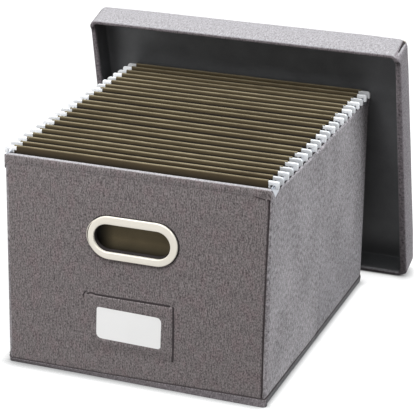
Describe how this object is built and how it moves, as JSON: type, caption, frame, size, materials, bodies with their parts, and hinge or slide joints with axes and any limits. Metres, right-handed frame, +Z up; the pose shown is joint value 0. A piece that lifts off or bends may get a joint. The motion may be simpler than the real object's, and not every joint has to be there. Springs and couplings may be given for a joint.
{
  "type": "hanging file box",
  "caption": "Collapsible linen-covered file box with hand holes, a label pocket, hanging folders that slide on side rails, and a lift-off lid leaning behind it.",
  "frame": {"origin": "centre of the box's underside, on the floor", "axes": "+Z up, -Y out of the front wall with the label, +X to the right seen from the front"},
  "size_m": [0.3996, 0.4558, 0.3287],
  "materials": {
    "linen": "heathered woven linen, warm grey",
    "lining": "smooth non-woven lining, charcoal",
    "board": "grey-brown greyboard",
    "rail": "zinc-plated strip",
    "handle": "cream lacquer, satin gloss",
    "folder": "olive-brown pressboard",
    "bar": "white plastic-coated hanger bar",
    "card": "plain white card"
  },
  "bodies": {
    "box": {"base_board": "board", "base_cover": "linen", "base_insert": "lining", "corner_seams": "linen", "front_board": "board", "front_cover": "linen", "front_handle_backing": "handle", "front_handle_ring": "handle", "front_hem": "linen", "front_lining": "lining", "label_pocket": "linen", "left_board_front": "board", "left_board_rear": "board", "left_cover": "linen", "left_lining": "lining", "left_rail_front": "rail", "left_rail_rear": "rail", "rear_board": "board", "rear_cover": "linen", "rear_handle_backing": "handle", "rear_handle_ring": "handle", "rear_hem": "linen", "rear_lining": "lining", "right_board_front": "board", "right_board_rear": "board", "right_cover": "linen", "right_lining": "lining", "right_rail_front": "rail", "right_rail_rear": "rail"},
    "lid": {"lid_panel_board": "board", "lid_panel_cover": "linen", "lid_panel_lining": "lining", "lid_rim_boards": "board", "lid_rim_cover": "linen", "lid_rim_lining": "lining"},
    "label_card": {"label_card": "card"},
    "folder_01": {"folder_01_sheet": "folder", "folder_01_bars": "bar"},
    "folder_02": {"folder_02_sheet": "folder", "folder_02_bars": "bar"},
    "folder_03": {"folder_03_sheet": "folder", "folder_03_bars": "bar"},
    "folder_04": {"folder_04_sheet": "folder", "folder_04_bars": "bar"},
    "folder_05": {"folder_05_sheet": "folder", "folder_05_bars": "bar"},
    "folder_06": {"folder_06_sheet": "folder", "folder_06_bars": "bar"},
    "folder_07": {"folder_07_sheet": "folder", "folder_07_bars": "bar"},
    "folder_08": {"folder_08_sheet": "folder", "folder_08_bars": "bar"},
    "folder_09": {"folder_09_sheet": "folder", "folder_09_bars": "bar"},
    "folder_10": {"folder_10_sheet": "folder", "folder_10_bars": "bar"},
    "folder_11": {"folder_11_sheet": "folder", "folder_11_bars": "bar"}
  },
  "joints": [
    {"name": "folder_01_slide", "type": "slide", "parent": "box", "child": "folder_01", "axis": [0, 1, 0], "range_m": [-0.0053, 0.0062]},
    {"name": "folder_02_slide", "type": "slide", "parent": "box", "child": "folder_02", "axis": [0, 1, 0], "range_m": [-0.0062, 0.0065]},
    {"name": "folder_03_slide", "type": "slide", "parent": "box", "child": "folder_03", "axis": [0, 1, 0], "range_m": [-0.0065, 0.0069]},
    {"name": "folder_04_slide", "type": "slide", "parent": "box", "child": "folder_04", "axis": [0, 1, 0], "range_m": [-0.0069, 0.0074]},
    {"name": "folder_05_slide", "type": "slide", "parent": "box", "child": "folder_05", "axis": [0, 1, 0], "range_m": [-0.0074, 0.0076]},
    {"name": "folder_06_slide", "type": "slide", "parent": "box", "child": "folder_06", "axis": [0, 1, 0], "range_m": [-0.0076, 0.0076]},
    {"name": "folder_07_slide", "type": "slide", "parent": "box", "child": "folder_07", "axis": [0, 1, 0], "range_m": [-0.0076, 0.0074]},
    {"name": "folder_08_slide", "type": "slide", "parent": "box", "child": "folder_08", "axis": [0, 1, 0], "range_m": [-0.0074, 0.0069]},
    {"name": "folder_09_slide", "type": "slide", "parent": "box", "child": "folder_09", "axis": [0, 1, 0], "range_m": [-0.0069, 0.0065]},
    {"name": "folder_10_slide", "type": "slide", "parent": "box", "child": "folder_10", "axis": [0, 1, 0], "range_m": [-0.0065, 0.0062]},
    {"name": "folder_11_slide", "type": "slide", "parent": "box", "child": "folder_11", "axis": [0, 1, 0], "range_m": [-0.0062, 0.0049]},
    {"name": "lid_lift", "type": "slide", "parent": "box", "child": "lid", "axis": [0, 0, 1], "range_m": [0, 0.35]},
    {"name": "card_slide", "type": "slide", "parent": "box", "child": "label_card", "axis": [0, 0, 1], "range_m": [0, 0.05]}
  ]
}
